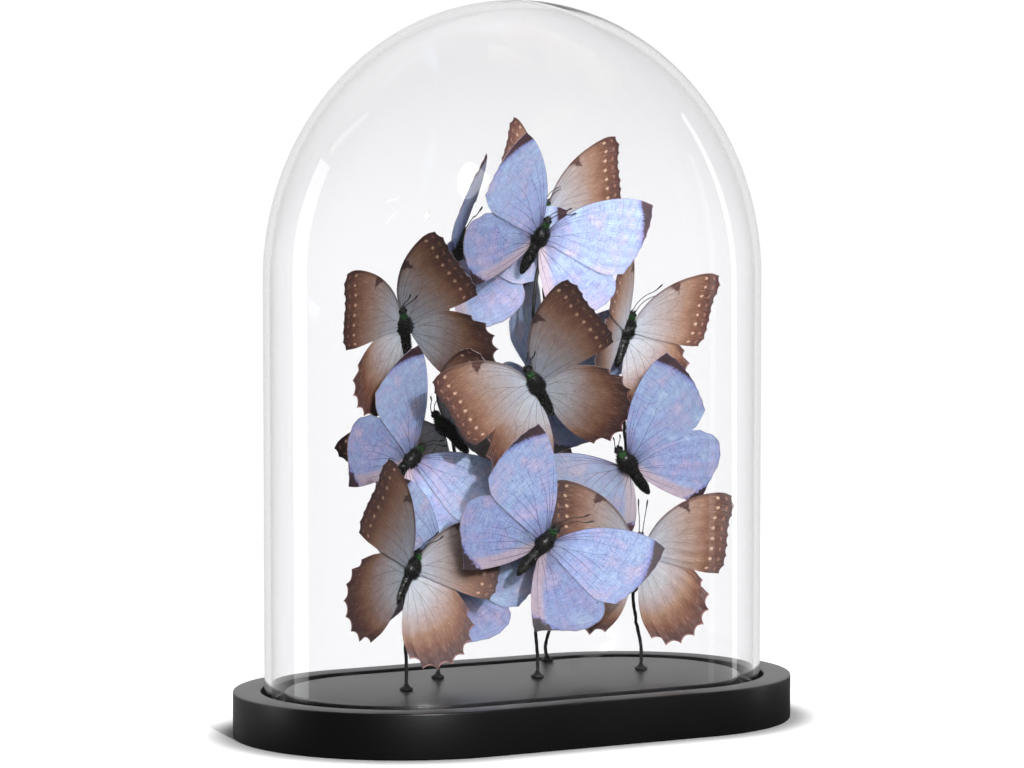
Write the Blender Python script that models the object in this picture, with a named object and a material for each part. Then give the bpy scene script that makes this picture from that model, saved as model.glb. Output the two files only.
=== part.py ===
"""Butterflies on wires under an oval glass dome, on a black wooden base. Metres, +Z up."""

from math import cos, pi, radians, sin

import bmesh
import bpy
from mathutils import Euler, Matrix, Vector

MM = 0.001

# Driving dimensions of the base, all in metres
BASE_LENGTH = 0.360
BASE_DEPTH = 0.206
BASE_HEIGHT = 0.027
RIM_WIDTH = 0.0165        # flat wood outside the groove
GROOVE_WIDTH = 0.0145
GROOVE_DEPTH = 0.008
EDGE_BEVEL = 0.0012
HALF_STRAIGHT = (BASE_LENGTH - BASE_DEPTH) / 2
CAP_STEPS = 10            # segments in each round end

# The glass dome stands in the groove
GLASS_WALL = 0.004
GLASS_TO_RIM = 0.0023     # free groove outside the glass
GLASS_RADIUS = BASE_DEPTH / 2 - RIM_WIDTH - GLASS_TO_RIM
GAP = 0.0003              # left between pieces that touch
GLASS_FOOT = BASE_HEIGHT - GROOVE_DEPTH + GAP
SPRING_HEIGHT = 0.2725    # the sides are upright up to here
DOME_TOP = 0.4397
DOME_STEPS = 7

# Wires and their glue feet
WIRE_RADIUS = 0.0011
WIRE_SIDES = 5
FOOT_RADIUS = 0.0040
FOOT_HEIGHT = 0.0024
WIRE_STEP = 0.024        # between the bends of a wire

# One butterfly, drawn lying on its front: x to its right, y to its head, z out of its back, in mm
WING_THICKNESS = 0.8
HINGE = 3.0               # wings fold up about lines this far from the middle
FOREWING_LEVEL = 2.0
HINDWING_LEVEL = 0.9      # the hindwing passes under the forewing
BODY_SIDES = 7
BODY_RINGS = (            # along the body: y, half width, half height, centre height
    (14.0, 1.2, 1.2, 1.8),
    (11.6, 2.9, 2.9, 1.7),
    (8.6, 2.3, 2.2, 1.3),
    (5.8, 4.3, 4.1, 1.1),
    (0.5, 5.0, 4.8, 1.0),
    (-5.6, 3.4, 3.2, 0.5),
    (-8.0, 2.5, 2.4, 0.3),
    (-15.0, 3.1, 2.9, -0.3),
    (-25.4, 0.9, 0.9, -1.0),
)
GLUED_RING = 4            # the wire ends under this ring of the body
ANTENNA = ((1.3, 13.0, 2.6), (5.0, 21.0, 5.0), (8.5, 30.0, 6.0), (9.6, 33.0, 6.2))
ANTENNA_RADII = (0.45, 0.35, 0.35, 0.6)
ANTENNA_SIDES = 3

FOREWING = {
    "blue": (
        (2, -1), (3, 4), (7, 12), (14, 22), (24, 31), (36, 38), (47, 41.5), (55.5, 41.5),
        (58, 32), (58.5, 20), (57, 8), (54.5, -1.5), (46, -6), (38, -6.5), (20, -4),
    ),
    "brown": (
        (2, -1), (3, 4), (5, 13), (11, 24.5), (21, 35), (33, 42), (44, 45.5), (50, 44.5),
        (52.5, 38), (51.5, 27), (52.5, 14), (52.5, 3), (50, -3), (40, -4), (22, -3),
    ),
}
HINDWING = {
    "blue": (
        (2, -9), (2, -1), (18, 1), (36, -2.5), (46, -8), (51.5, -17), (50, -25),
        (44.5, -32.5), (36, -38), (29, -42.5), (24, -46.5), (18, -41), (11, -31), (5, -19),
    ),
    "brown": (
        (2, -10), (2, -1), (18, 2.5), (31, -2), (41, -9), (47, -18), (47.5, -26),
        (45, -29.5), (46, -35), (42, -37.5), (42.5, -43.5), (37.5, -44.5), (36, -50),
        (31, -48.5), (27.5, -53.5), (23.5, -50), (17.5, -51), (8.5, -40), (4, -27),
    ),
}

# Where each butterfly's middle is (mm), how it is turned, and how its wings are set (degrees):
# spin turns the head clockwise as seen from the front, lean tips the head to the front,
# turn is about the vertical; lift and sweep are right, left.
BUTTERFLIES = {
    "blue_top": dict(
        kind="blue", at=(11, -7, 297), spin=25, lean=6, turn=-19,
        lift=(14, 29), sweep=(4, 11), hind_sweep=(11, 9), size=1.03),
    "brown_top": dict(
        kind="brown", at=(52, 56, 306), spin=8, lean=-22, turn=-28,
        lift=(27, 51), sweep=(9, 7), hind_sweep=(0, 0), size=1.02),
    "blue_upper_left": dict(
        kind="blue", at=(-13, 49, 288), spin=25, lean=-5, turn=-17,
        lift=(42, 76), sweep=(-2, 7), hind_sweep=(4, 0), size=1.10),
    "brown_left": dict(
        kind="brown", at=(-63, 27, 244), spin=-13, lean=23, turn=-11,
        lift=(22, 29), sweep=(26, 10), hind_sweep=(19, 0), size=1.01),
    "brown_middle": dict(
        kind="brown", at=(5, -12, 209), spin=-33, lean=19, turn=-12,
        lift=(12, 16), sweep=(7, -3), hind_sweep=(-4, 1), size=1.09),
    "blue_left": dict(
        kind="blue", at=(-53, 37, 162), spin=51, lean=-11, turn=3,
        lift=(11, 21), sweep=(-2, 0), hind_sweep=(9, -4), size=1.02),
    "blue_middle_back": dict(
        kind="blue", at=(41, 48, 207), spin=23, lean=-18, turn=-7,
        lift=(30, 43), sweep=(17, 16), hind_sweep=(0, -4), size=1.02),
    "blue_front": dict(
        kind="blue", at=(-1, -33, 114), spin=42, lean=-10, turn=-17,
        lift=(13, 18), sweep=(-1, 5), hind_sweep=(6, 6), size=1.05),
    "brown_right": dict(
        kind="brown", at=(85, 11, 238), spin=21, lean=-18, turn=-15,
        lift=(35, 65), sweep=(-2, -5), hind_sweep=(1, 5), size=1.01),
    "blue_right": dict(
        kind="blue", at=(64, -23, 159), spin=-37, lean=13, turn=-16,
        lift=(1, -43), sweep=(1, -20), hind_sweep=(-2, 4), size=1.06),
    "brown_left_back": dict(
        kind="brown", at=(-24, 45, 181), spin=-36, lean=28, turn=-25,
        lift=(20, 9), sweep=(0, -13), hind_sweep=(0, 17), size=1.06),
    "brown_low_left": dict(
        kind="brown", at=(-78, -8, 100), spin=33, lean=-7, turn=12,
        lift=(21, 8), sweep=(8, -1), hind_sweep=(4, -9), size=1.04),
    "brown_low_right": dict(
        kind="brown", at=(80, -11, 102), spin=6, lean=5, turn=-34,
        lift=(6, 2), sweep=(-3, -7), hind_sweep=(-3, -1), size=1.03),
    "blue_low_left": dict(
        kind="blue", at=(-44, 18, 99), spin=22, lean=6, turn=-14,
        lift=(16, 22), sweep=(-4, 1), hind_sweep=(4, 0), size=1.00),
    "brown_low_back": dict(
        kind="brown", at=(45, 65, 118), spin=-27, lean=-2, turn=-47,
        lift=(10, 74), sweep=(0, 0), hind_sweep=(0, 0), size=0.97),
}

# Each stem: the butterfly at the end of its main wire, the points that the wire passes (mm),
# and its side wires, each with the points it starts through and the butterfly it holds.
STEMS = {
    "stem_front_left": dict(
        holds="brown_low_left",
        route=((-79, -5, 42), (-79, -4, 58), (-79, -4, 75)),
        sides=()),
    "stem_left": dict(
        holds="brown_left",
        route=((-37, 31, 42), (-40, 34, 66), (-45, 38, 96), (-49, 42, 129), (-53, 46, 161),
               (-57, 47, 189), (-60, 45, 212), (-62, 40, 231)),
        sides=(
            (((-44, 37, 92), (-44, 32, 96)), "blue_low_left"),
            (((-52, 45.5, 151), (-52, 44.5, 156)), "blue_left"),
            (((-37.5, 32, 48), (-33, 35, 69), (-24, 39, 98), (-16, 45, 129), (-13, 52, 160),
              (-14, 58, 193), (-15, 59, 224), (-15, 57, 251), (-14, 55, 271)),
             "blue_upper_left"),
            (((-13, 56, 175), (-17, 54, 178)), "brown_left_back"),
        )),
    "stem_middle": dict(
        holds="blue_top",
        route=((17, 5, 42), (15, 6, 67), (14, 7, 98), (12, 6, 132), (11, 4, 165),
               (10, 0, 201), (9, -3, 235), (9, -5, 265), (13, -4, 283)),
        sides=(
            (((13, 6, 107), (12, -8, 115), (8, -19, 117)), "blue_front"),
            (((10, 0, 203), (9, -2, 207)), "brown_middle"),
        )),
    "stem_back": dict(
        holds="brown_top",
        route=((60, 66, 42), (69, 61, 69), (68, 61, 103), (63, 63, 139), (59, 65, 175),
               (57, 66, 209), (57, 65, 241), (56, 63, 266), (55, 61, 287)),
        sides=(
            (((67.5, 61, 108), (60, 64, 112), (54, 66, 115)), "brown_low_back"),
            (((57.5, 66, 199), (52, 62, 202), (47, 57, 204)), "blue_middle_back"),
        )),
    "stem_right": dict(
        holds="brown_right",
        route=((91, 4, 42), (88, 7, 65), (88, 9, 93), (88, 12, 125), (88, 16, 157),
               (88, 19, 186), (92, 17, 210), (91, 15, 226)),
        sides=(
            (((88, 9, 95), (86, 4, 99), (84, -2, 101)), "brown_low_right"),
            (((88, 15, 151), (79, 3, 155), (72, -8, 157)), "blue_right"),
        )),
}


def make_material(name, colour, roughness, metallic=0.0):
    material = bpy.data.materials.new(name)
    material.use_nodes = True
    shader = material.node_tree.nodes["Principled BSDF"]
    shader.inputs["Base Color"].default_value = (*colour, 1)
    shader.inputs["Roughness"].default_value = roughness
    shader.inputs["Metallic"].default_value = metallic
    return material


def make_object(name, mesh, material):
    thing = bpy.data.objects.new(name, mesh)
    bpy.context.scene.collection.objects.link(thing)
    mesh.materials.append(material)
    return thing


def mesh_from_loops(name, loops):
    """A closed mesh: loops of equal length bridged in order, with a face over each end."""
    form = bmesh.new()
    rows = [[form.verts.new(point) for point in loop] for loop in loops]
    count = len(rows[0])
    for lower, upper in zip(rows, rows[1:]):
        for i in range(count):
            j = (i + 1) % count
            form.faces.new((lower[i], lower[j], upper[j], upper[i]))
    form.faces.new(rows[0][::-1])
    form.faces.new(rows[-1])
    bmesh.ops.recalc_face_normals(form, faces=form.faces)
    mesh = bpy.data.meshes.new(name)
    form.to_mesh(mesh)
    form.free()
    return mesh


def shade(mesh, angle):
    mesh.shade_smooth()
    mesh.set_sharp_from_angle(angle=radians(angle))


def oval(radius, level, scale=1.0):
    """A straight-sided oval: two half circles about the ends of the straight middle."""
    points = []
    for side in (1, -1):
        for step in range(CAP_STEPS + 1):
            angle = pi * step / CAP_STEPS - pi / 2
            x = side * (HALF_STRAIGHT + radius * cos(angle))
            y = side * radius * sin(angle)
            points.append((x * scale, y * scale, level))
    return points


def make_base():
    outer = BASE_DEPTH / 2
    groove_outer = outer - RIM_WIDTH
    groove_inner = groove_outer - GROOVE_WIDTH
    floor = BASE_HEIGHT - GROOVE_DEPTH
    profile = (
        (outer - EDGE_BEVEL, 0),
        (outer, EDGE_BEVEL),
        (outer, BASE_HEIGHT - EDGE_BEVEL),
        (outer - EDGE_BEVEL, BASE_HEIGHT),
        (groove_outer, BASE_HEIGHT),
        (groove_outer, floor),
        (groove_inner, floor),
        (groove_inner, BASE_HEIGHT),
    )
    mesh = mesh_from_loops("base", [oval(radius, level) for radius, level in profile])
    shade(mesh, 30)
    black = make_material("black_wood", (0.012, 0.012, 0.013), 0.35)
    return make_object("base", mesh, black)


def make_dome():
    inner_radius = GLASS_RADIUS - GLASS_WALL

    def skin(radius, top):
        loops = [oval(radius, GLASS_FOOT)]
        for step in range(DOME_STEPS):
            angle = pi / 2 * step / DOME_STEPS
            level = SPRING_HEIGHT + (top - SPRING_HEIGHT) * sin(angle)
            loops.append(oval(radius, level, cos(angle)))
        loops.append(oval(radius, top, 0.02))
        return loops

    outside = skin(GLASS_RADIUS, DOME_TOP)
    inside = skin(inner_radius, DOME_TOP - GLASS_WALL)
    mesh = mesh_from_loops("glass_dome", outside[::-1] + inside)
    shade(mesh, 40)
    glass = make_material("clear_glass", (1, 1, 1), 0.02)
    shader = glass.node_tree.nodes["Principled BSDF"]
    shader.inputs["Transmission Weight"].default_value = 1.0
    return make_object("glass_dome", mesh, glass)


def placing(design):
    """The matrix that takes a butterfly's own millimetres to its place in the dome."""
    upright = Matrix(((1, 0, 0), (0, 0, -1), (0, 1, 0))).to_4x4()
    spin = Matrix.Rotation(radians(-design["spin"]), 4, "Z")
    lean = Matrix.Rotation(radians(design["lean"]), 4, "X")
    turn = Matrix.Rotation(radians(design["turn"]), 4, "Z")
    place = Matrix.Translation(Vector(design["at"]) * MM)
    return place @ turn @ lean @ upright @ spin @ Matrix.Scale(design["size"] * MM, 4)


def wing_mesh(name, outline, side, lift, sweep, level):
    """A flat plate of the wing's outline, swept forward in its plane and lifted at its hinge."""
    swing = Matrix.Rotation(radians(sweep), 3, "Z")
    fold = Euler((0, radians(-lift), 0)).to_matrix()
    loops = []
    for height in (level - WING_THICKNESS / 2, level + WING_THICKNESS / 2):
        loop = []
        for x, y in outline:
            flat = swing @ Vector((x, y, 0))
            point = fold @ Vector((flat.x - HINGE, flat.y, height))
            loop.append((side * (point.x + HINGE), point.y, point.z))
        loops.append(loop)
    return mesh_from_loops(name, loops)


def body_mesh(name):
    loops = []
    for y, half_width, half_height, centre in BODY_RINGS:
        loop = []
        for i in range(BODY_SIDES):
            angle = 2 * pi * i / BODY_SIDES
            loop.append((half_width * cos(angle), y, centre + half_height * sin(angle)))
        loops.append(loop)
    return mesh_from_loops(name, loops)


def smooth_path(points, step):
    """Points along a smooth curve through the given ones, about a step apart."""
    ends = [2 * points[0] - points[1], *points, 2 * points[-1] - points[-2]]
    path = []
    for a, b, c, d in zip(ends, ends[1:], ends[2:], ends[3:]):
        count = max(1, round((c - b).length / step))
        for k in range(count):
            t = k / count
            path.append((2 * b + (c - a) * t + (2 * a - 5 * b + 4 * c - d) * t ** 2
                         + (3 * b - a - 3 * c + d) * t ** 3) / 2)
    path.append(points[-1])
    return path


def tube_mesh(name, path, radii, sides):
    loops = []
    across = Vector((1, 0, 0))
    for i, point in enumerate(path):
        ahead = path[min(i + 1, len(path) - 1)] - path[max(i - 1, 0)]
        ahead.normalize()
        across = (across - ahead * across.dot(ahead)).normalized()
        other = ahead.cross(across)
        loop = []
        for k in range(sides):
            angle = 2 * pi * k / sides
            loop.append(point + radii[i] * (across * cos(angle) + other * sin(angle)))
        loops.append(loop)
    return mesh_from_loops(name, loops)


def join_to(whole, pieces):
    """Unite closed meshes with an object; the pieces stay as hidden cutters."""
    for piece in pieces:
        piece.hide_render = True
        piece.display_type = "WIRE"
        union = whole.modifiers.new(piece.name, "BOOLEAN")
        union.operation = "UNION"
        union.solver = "EXACT"
        union.object = piece


def make_butterfly(name, design, material):
    node = "butterfly_" + name
    body = make_object(node, body_mesh(node), material)
    pieces = []
    for side, index in ((1, 0), (-1, 1)):
        lift = design["lift"][index]
        wings = (
            ("forewing", FOREWING, design["sweep"][index], FOREWING_LEVEL),
            ("hindwing", HINDWING, design["hind_sweep"][index], HINDWING_LEVEL),
        )
        for part, outlines, sweep, level in wings:
            label = f"{name}_{part}_{index}"
            plate = wing_mesh(label, outlines[design["kind"]], side, lift, sweep, level)
            pieces.append(make_object(label, plate, material))
        feeler = [Vector((side * x, y, z)) for x, y, z in ANTENNA]
        label = f"{name}_antenna_{index}"
        feeler = tube_mesh(label, feeler, ANTENNA_RADII, ANTENNA_SIDES)
        pieces.append(make_object(label, feeler, material))
    place = placing(design)
    for thing in (body, *pieces):
        thing.data.transform(place)
    join_to(body, pieces)
    return body


def back_of(name):
    """A point just off the middle of a butterfly's underside, and the way out from there."""
    place = placing(BUTTERFLIES[name])
    along, _, half_height, centre = BODY_RINGS[GLUED_RING]
    under = place @ Vector((0, along, centre - half_height))
    out = (place.to_3x3() @ Vector((0, 0, -1))).normalized()
    return under + out * GAP, out


def wire_path(points, holds):
    end, out = back_of(holds)
    route = [Vector(point) * MM for point in points]
    return smooth_path([*route, end + out * 5 * MM, end], WIRE_STEP)


def make_stem(name, design, material):
    first = Vector(design["route"][0]) * MM
    ground = Vector((first.x, first.y, BASE_HEIGHT + GAP))
    foot = [
        (ground, FOOT_RADIUS * 0.8),
        (ground + Vector((0, 0, FOOT_HEIGHT * 0.4)), FOOT_RADIUS),
        (ground + Vector((0, 0, FOOT_HEIGHT)), FOOT_RADIUS * 0.6),
        (ground + Vector((0, 0, FOOT_HEIGHT * 1.4)), WIRE_RADIUS),
    ]
    path = wire_path(design["route"], design["holds"])
    points = [point for point, _ in foot] + path
    radii = [radius for _, radius in foot] + [WIRE_RADIUS] * len(path)
    stem = make_object(name, tube_mesh(name, points, radii, WIRE_SIDES), material)
    pieces = []
    for index, (route, holds) in enumerate(design["sides"]):
        label = f"{name}_side_{index}"
        path = wire_path(route, holds)
        side = tube_mesh(label, path, [WIRE_RADIUS] * len(path), WIRE_SIDES)
        pieces.append(make_object(label, side, material))
    join_to(stem, pieces)
    return stem


for thing in list(bpy.data.objects):
    bpy.data.objects.remove(thing)

make_base()
make_dome()
wing_materials = {
    "blue": make_material("blue_wing", (0.38, 0.45, 0.85), 0.6),
    "brown": make_material("brown_wing", (0.36, 0.22, 0.14), 0.6),
}
for butterfly, pose in BUTTERFLIES.items():
    make_butterfly(butterfly, pose, wing_materials[pose["kind"]])
wire = make_material("black_wire", (0.01, 0.01, 0.01), 0.5)
for stem_name, stem_design in STEMS.items():
    make_stem(stem_name, stem_design, wire)
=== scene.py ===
import math

import bmesh
import bpy
import numpy as np
from mathutils import Matrix, Vector


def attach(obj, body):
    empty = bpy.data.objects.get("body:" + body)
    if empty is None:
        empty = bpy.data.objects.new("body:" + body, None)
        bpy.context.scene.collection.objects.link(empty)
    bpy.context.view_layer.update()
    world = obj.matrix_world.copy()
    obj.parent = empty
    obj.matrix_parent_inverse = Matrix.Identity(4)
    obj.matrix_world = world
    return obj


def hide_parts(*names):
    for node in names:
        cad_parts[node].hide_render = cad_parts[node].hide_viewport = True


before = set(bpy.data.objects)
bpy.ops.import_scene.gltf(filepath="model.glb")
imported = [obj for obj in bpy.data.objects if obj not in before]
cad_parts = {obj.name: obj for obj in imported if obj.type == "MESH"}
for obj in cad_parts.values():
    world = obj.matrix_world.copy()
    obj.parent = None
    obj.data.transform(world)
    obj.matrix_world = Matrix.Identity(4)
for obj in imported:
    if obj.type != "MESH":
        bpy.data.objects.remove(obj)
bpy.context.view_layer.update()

mm = 0.001
chance = np.random.default_rng(7)


def unit(rows):
    return rows / np.linalg.norm(rows, axis=-1, keepdims=True)


def circle(sides):
    return np.linspace(0, 2 * math.pi, sides, endpoint=False)


def evenCurve(points, count):
    # a smooth curve through the points, cut into even steps
    p = np.array(points, float)
    ends = np.vstack([2 * p[0] - p[1], p, 2 * p[-1] - p[-2]])
    t = np.linspace(0, 1, 14, endpoint=False)[:, None]
    runs = []
    for a, b, c, d in zip(ends, ends[1:], ends[2:], ends[3:]):
        runs.append((2 * b + (c - a) * t + (2 * a - 5 * b + 4 * c - d) * t ** 2
                     + (3 * b - a - 3 * c + d) * t ** 3) / 2)
    dense = np.vstack(runs + [p[-1:]])
    steps = np.linalg.norm(np.diff(dense, axis=0), axis=1)
    reached = np.concatenate([[0], np.cumsum(steps)])
    at = np.linspace(0, reached[-1], count)
    return np.column_stack([np.interp(at, reached, dense[:, k]) for k in range(p.shape[1])])


class meshPile:
    # gathers shapes with their finishes into one mesh

    def __init__(self):
        self.points = []
        self.faces = []
        self.finishes = []
        self.fields = []
        self.count = 0

    def add(self, points, faces, finish, fields=None):
        self.points.append(points)
        self.faces += [[i + self.count for i in face] for face in faces]
        self.finishes += finish if isinstance(finish, list) else [finish] * len(faces)
        self.fields.append((self.count, fields or {}))
        self.count += len(points)

    def addLoops(self, loops, finish, fields=None):
        # loops of points laid one after another, joined up, with a cap on each end
        rows, sides = len(loops), len(loops[0])
        faces = []
        for start in range(0, (rows - 1) * sides, sides):
            for i in range(sides):
                j = (i + 1) % sides
                faces.append([start + i, start + j, start + sides + j, start + sides + i])
        faces.append(list(range(sides))[::-1])
        faces.append(list(range((rows - 1) * sides, rows * sides)))
        self.add(np.vstack(loops), faces, finish, fields)

    def build(self, name, materials, place=Matrix.Scale(mm, 4)):
        matrix = np.array(place)
        points = np.vstack(self.points) @ matrix[:3, :3].T + matrix[:3, 3]
        mesh = bpy.data.meshes.new(name)
        mesh.from_pydata(points.tolist(), [], self.faces)
        for material in materials:
            mesh.materials.append(material)
        mesh.polygons.foreach_set("material_index", self.finishes)
        for key in sorted({key for _, fields in self.fields for key in fields}):
            runs = [(start, fields[key]) for start, fields in self.fields if key in fields]
            wide = np.ndim(runs[0][1]) == 2
            values = np.zeros((self.count, 3) if wide else self.count)
            for start, run in runs:
                values[start:start + len(run)] = run
            layer = mesh.attributes.new(key, "FLOAT_VECTOR" if wide else "FLOAT", "POINT")
            layer.data.foreach_set("vector" if wide else "value", values.ravel())
        mesh.shade_smooth()
        mesh.update()
        piece = bpy.data.objects.new(name, mesh)
        bpy.context.scene.collection.objects.link(piece)
        return piece


def dress(piece, slot, *nodes):
    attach(piece, "root")
    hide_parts(*nodes)


def tube(path, radii, sides):
    turns = circle(sides)
    across = np.array([0.9, 0.1, 0.3])  # any way that no path runs along
    loops = []
    for point, ahead, radius in zip(path, unit(np.gradient(path, axis=0)), radii):
        across = unit(across - ahead * across.dot(ahead))
        other = np.cross(ahead, across)
        loops.append(point + radius * (np.outer(np.cos(turns), across)
                                       + np.outer(np.sin(turns), other)))
    return loops


def ringed(rings, sides, x=0):
    # loops along y: each ring is y, half width, half height, centre height
    turns = circle(sides)
    return [np.column_stack([x + halfWidth * np.cos(turns), np.full(sides, y),
                             centre + halfHeight * np.sin(turns)])
            for y, halfWidth, halfHeight, centre in rings]


def ink(colour):
    # a colour as seen on screen, 0 to 255, as the shader wants it
    linear = []
    for value in colour:
        value /= 255
        linear.append(value / 12.92 if value < 0.04045 else ((value + 0.055) / 1.055) ** 2.4)
    return (*linear, 1)


class nodeBench:
    # short ways to lay out the nodes of a new material, or of the world

    def __init__(self, owner, **finish):
        if isinstance(owner, str):
            owner = bpy.data.materials.new(owner)
        owner.use_nodes = True
        self.owner = owner
        self.nodes = owner.node_tree.nodes
        self.links = owner.node_tree.links
        self.shader = self.nodes.get("Principled BSDF")
        self.finish(**finish)

    def feed(self, socket, value):
        if isinstance(value, bpy.types.NodeSocket):
            self.links.new(value, socket)
        else:
            socket.default_value = value

    def finish(self, **values):
        for key, value in values.items():
            self.feed(self.shader.inputs[key.replace("_", " ")], value)

    def node(self, kind, inputs, **settings):
        node = self.nodes.new("ShaderNode" + kind)
        for key, value in settings.items():
            setattr(node, key, value)
        for key, value in inputs.items():
            self.feed(node.inputs[key], value)
        return node

    def calc(self, operation, *values):
        return self.node("Math", dict(enumerate(values)), operation=operation).outputs[0]

    def plus(self, first, second):
        return self.calc("ADD", first, second)

    def minus(self, first, second):
        return self.calc("SUBTRACT", first, second)

    def times(self, first, second):
        return self.calc("MULTIPLY", first, second)

    def distance(self, first, second):
        return self.calc("SQRT", self.plus(self.times(first, first), self.times(second, second)))

    def sway(self, noise, reach):
        # noise that swings about zero
        return self.times(self.minus(noise, 0.5), reach)

    def fade(self, value, start, end, low=0, high=1):
        # low at start and high at end
        inputs = {"Value": value, "From Min": start, "From Max": end, "To Min": low, "To Max": high}
        return self.node("MapRange", inputs, interpolation_type="SMOOTHSTEP").outputs["Result"]

    def pick(self, amount, first, second):
        return self.node("Mix", {0: amount, 2: first, 3: second}).outputs[0]

    def mix(self, amount, first, second, blend="MIX"):
        return self.node("Mix", {0: amount, 6: first, 7: second}, data_type="RGBA",
                         blend_type=blend).outputs[2]

    def lay(self, amount, strength, colour):
        # lays a colour over those before
        self.colour = self.mix(self.times(amount, strength), self.colour, ink(colour))

    def layer(self, value, start, end, strength, colour):
        self.lay(self.fade(value, start, end), strength, colour)

    def ramp(self, value, stops):
        node = self.node("ValToRGB", {0: value})
        bar = node.color_ramp
        for element, (spot, colour) in zip(bar.elements, (stops[0], stops[-1])):
            element.position = spot
            element.color = ink(colour)
        for spot, colour in stops[1:-1]:
            bar.elements.new(spot).color = ink(colour)
        return node.outputs[0]

    def field(self, name, output="Fac"):
        return self.node("Attribute", {}, attribute_name=name).outputs[output]

    def vector(self, *values):
        return self.node("CombineXYZ", dict(enumerate(values))).outputs[0]

    def split(self, place):
        return self.node("SeparateXYZ", {0: place}).outputs

    def cloud(self, place, scale, detail=3.0, roughness=0.55):
        inputs = {"Vector": place, "Scale": scale, "Detail": detail, "Roughness": roughness}
        return self.node("TexNoise", inputs).outputs[0]

    def place(self, kind="Object"):
        return self.node("TexCoord", {}).outputs[kind]

    def rays(self):
        return self.node("LightPath", {}).outputs

    def withPaintedShading(self, colour):
        # painted light and shade for this wing, from the mesh: its colours are made paler or
        # darker, and the darker, the deeper its colours
        tone = self.field("tone")
        power = self.minus(1 + wing["paintedShadeDeepening"], self.times(tone, wing["paintedShadeDeepening"]))
        deep = self.node("Gamma", {0: colour, 1: power}).outputs[0]
        return self.mix(1.0, deep, self.vector(tone, tone, tone), "MULTIPLY")

    def bump(self, height, strength, distance):
        inputs = {"Strength": strength, "Distance": distance, "Height": height}
        self.finish(Normal=self.node("Bump", inputs).outputs[0])

    def letThrough(self, chosen, tint):
        # the rays that are chosen pass as if nothing were there but the tint
        clear = self.node("BsdfTransparent", {0: ink(tint)}).outputs[0]
        both = self.node("MixShader", {0: chosen, 1: self.shader.outputs[0], 2: clear})
        self.links.new(both.outputs[0], self.nodes["Material Output"].inputs[0])


def plainFinish(name, light, dark, scale, roughness, lumps=0.0, shine=0.5):
    # two shades of one colour, in patches, with lumps where they are wanted
    bench = nodeBench(name, Roughness=roughness, Specular_IOR_Level=shine)
    noise = bench.cloud(bench.place(), scale, 3)
    bench.finish(Base_Color=bench.ramp(noise, [(0.35, dark), (0.65, light)]))
    if lumps:
        bench.bump(noise, lumps, 0.0004)
    return bench.owner


# the camera stands where the photograph was taken from
cameraView = {
    "place": (-1.1443, -1.9625, 0.3395),
    "azimuth": -30.18,
    "pitch": 3.32,
    "lens": 131.93, "sensor": 36,
    "nearest": 0.05,
}


def placeCamera():
    data = bpy.data.cameras.new("camera")
    data.sensor_width = cameraView["sensor"]
    data.lens = cameraView["lens"]
    data.clip_start = cameraView["nearest"]
    camera = bpy.data.objects.new("camera", data)
    camera.location = cameraView["place"]
    camera.rotation_euler = (math.radians(90 - cameraView["pitch"]), 0,
                             math.radians(cameraView["azimuth"]))
    bpy.context.scene.collection.objects.link(camera)
    bpy.context.scene.camera = camera
    bpy.context.scene.view_settings.view_transform = "Standard"


base = {
    "length": 360, "depth": 206, "height": 27,
    "rim": 16.5,  # flat wood outside the groove
    "groove": 14.5, "grooveDepth": 8,
    "roundEdge": 0.9,
    "dark": (13, 13, 13), "light": (20, 20, 21),
    "roughness": 0.34, "ior": 1.45, "grain": 0.25,
    "seam": 77,  # the edge band's joint, to the right of the middle
    "seamEdges": (0.4, 0.15), "seamDepth": 4, "seamColour": (6, 6, 6),
    "sharp": 50,  # edges over this many degrees stay crisp
}
halfStraight = (base["length"] - base["depth"]) / 2


def oval(radius, level, scale=1.0, capSteps=48, sideSteps=16):
    # two half circles and the even points of the straight sides between them
    points = []
    turns = np.linspace(-math.pi / 2, math.pi / 2, capSteps + 1)
    along = np.linspace(1, -1, sideSteps + 2)[1:-1]
    for side in (1, -1):
        cap = (halfStraight + radius * np.cos(turns), radius * np.sin(turns))
        straight = (halfStraight * along, np.full(sideSteps, radius))
        x, y = np.hstack([cap, straight]) * side * scale
        points.append(np.column_stack([x, y, np.full(len(x), level)]))
    return np.vstack(points)


def roundedProfile(corners, radius, steps=4):
    # each corner of the profile becomes a small arc
    profile = []
    for before, here, after in zip(corners[:-2], corners[1:-1], corners[2:]):
        here = np.array(here, float)
        toBefore = np.array(before) - here
        toAfter = np.array(after) - here
        start = here + toBefore / np.linalg.norm(toBefore) * radius
        end = here + toAfter / np.linalg.norm(toAfter) * radius
        for t in np.linspace(0, 1, steps):
            profile.append(start * (1 - t) ** 2 + 2 * here * t * (1 - t) + end * t ** 2)
    return profile


def blackLacquer():
    bench = nodeBench("blackLacquer", Roughness=base["roughness"], IOR=base["ior"])
    place = bench.place()
    spot = bench.split(place)
    fromSeam = bench.calc("ABSOLUTE", bench.minus(spot[0], base["seam"] * mm))
    start, end = base["seamEdges"]
    front = bench.calc("LESS_THAN", spot[1], -0.1)
    seam = bench.times(bench.fade(fromSeam, start * mm, end * mm), front)
    patches = bench.cloud(place, 9, 3)
    bench.colour = bench.ramp(patches, [(0.3, base["dark"]), (0.7, base["light"])])
    bench.lay(seam, 1, base["seamColour"])
    bench.finish(Base_Color=bench.colour)
    height = bench.minus(bench.cloud(place, 900, 2), bench.times(seam, base["seamDepth"]))
    bench.bump(height, base["grain"], 0.2 * mm)
    return bench.owner


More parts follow.
